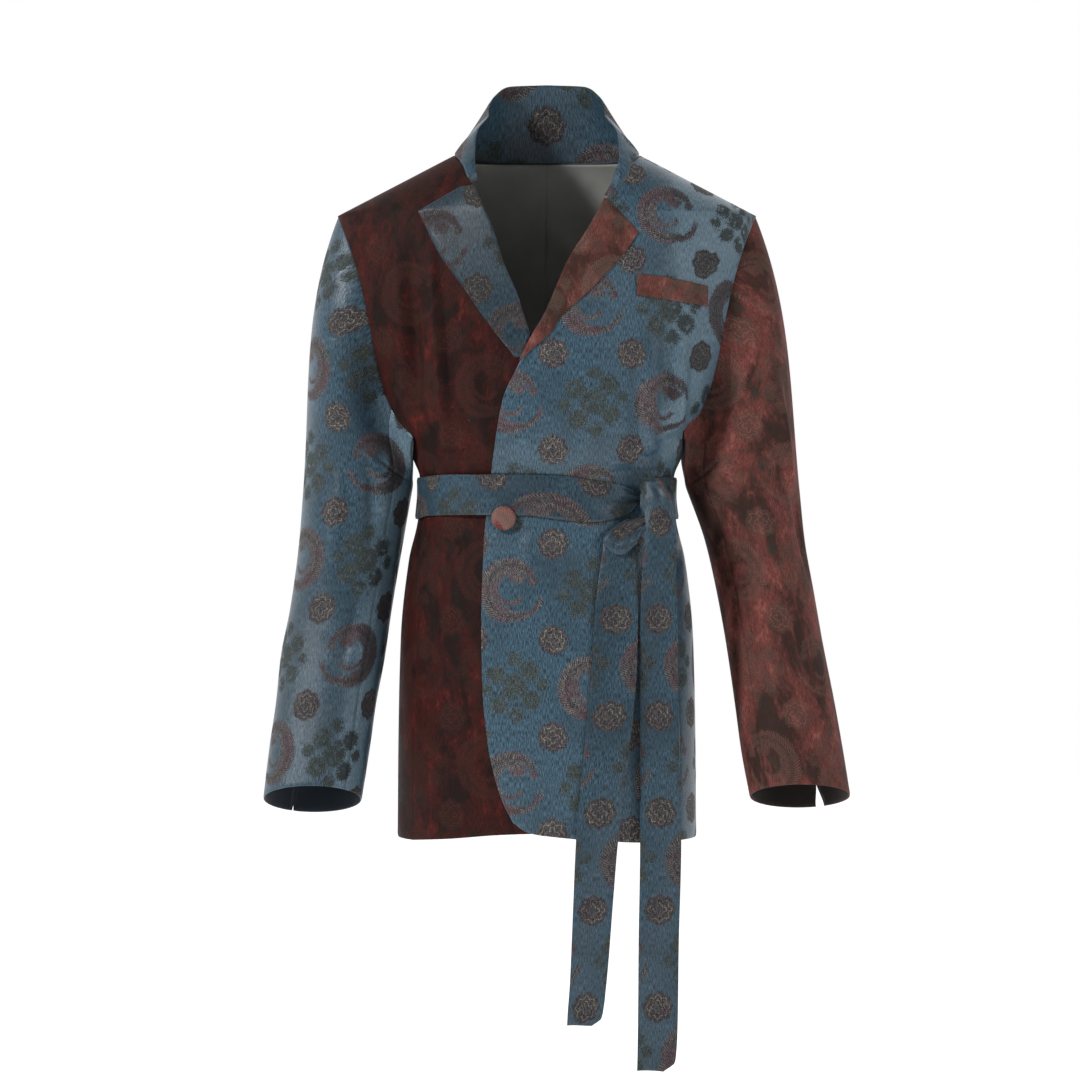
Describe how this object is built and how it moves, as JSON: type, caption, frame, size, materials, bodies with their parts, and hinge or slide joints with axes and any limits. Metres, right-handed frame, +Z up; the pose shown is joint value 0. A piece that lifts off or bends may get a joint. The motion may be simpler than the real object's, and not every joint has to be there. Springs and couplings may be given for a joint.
{
  "type": "belted brocade blazer",
  "caption": "Hollow, worn-shape belted blazer in contrasting brocades with a stand collar, plain lapels, a breast welt and a tied waist belt",
  "frame": {"origin": "Midway between the shoulders, level with the base of the neck, where the wearer's shoulders hold the garment.", "axes": "+X to the wearer's left, +Y to the wearer's back, +Z up; the front faces -Y."},
  "size_m": [0.6096, 0.2435, 1.0378],
  "materials": {
    "blue_brocade": "slate-blue brocade, satin crepe ground with woven roundels",
    "red_brocade": "dark red brocade, woven tone on tone, mottled",
    "lining": "plain dark grey twill lining"
  },
  "bodies": {
    "root": {"right_front": "red_brocade", "left_front": "blue_brocade", "right_side": "red_brocade", "left_side": "blue_brocade", "right_back": "red_brocade", "left_back": "blue_brocade", "right_lapel": "blue_brocade", "left_lapel": "red_brocade", "collar": "blue_brocade", "right_sleeve_top": "blue_brocade", "right_sleeve_under": "blue_brocade", "left_sleeve_top": "red_brocade", "left_sleeve_under": "red_brocade", "right_back_lining": "lining", "left_back_lining": "lining", "belt_band": "blue_brocade", "belt_knot": "blue_brocade", "belt_tail_long": "blue_brocade", "belt_tail_short": "blue_brocade", "breast_welt": "red_brocade", "button": "red_brocade"}
  },
  "joints": []
}
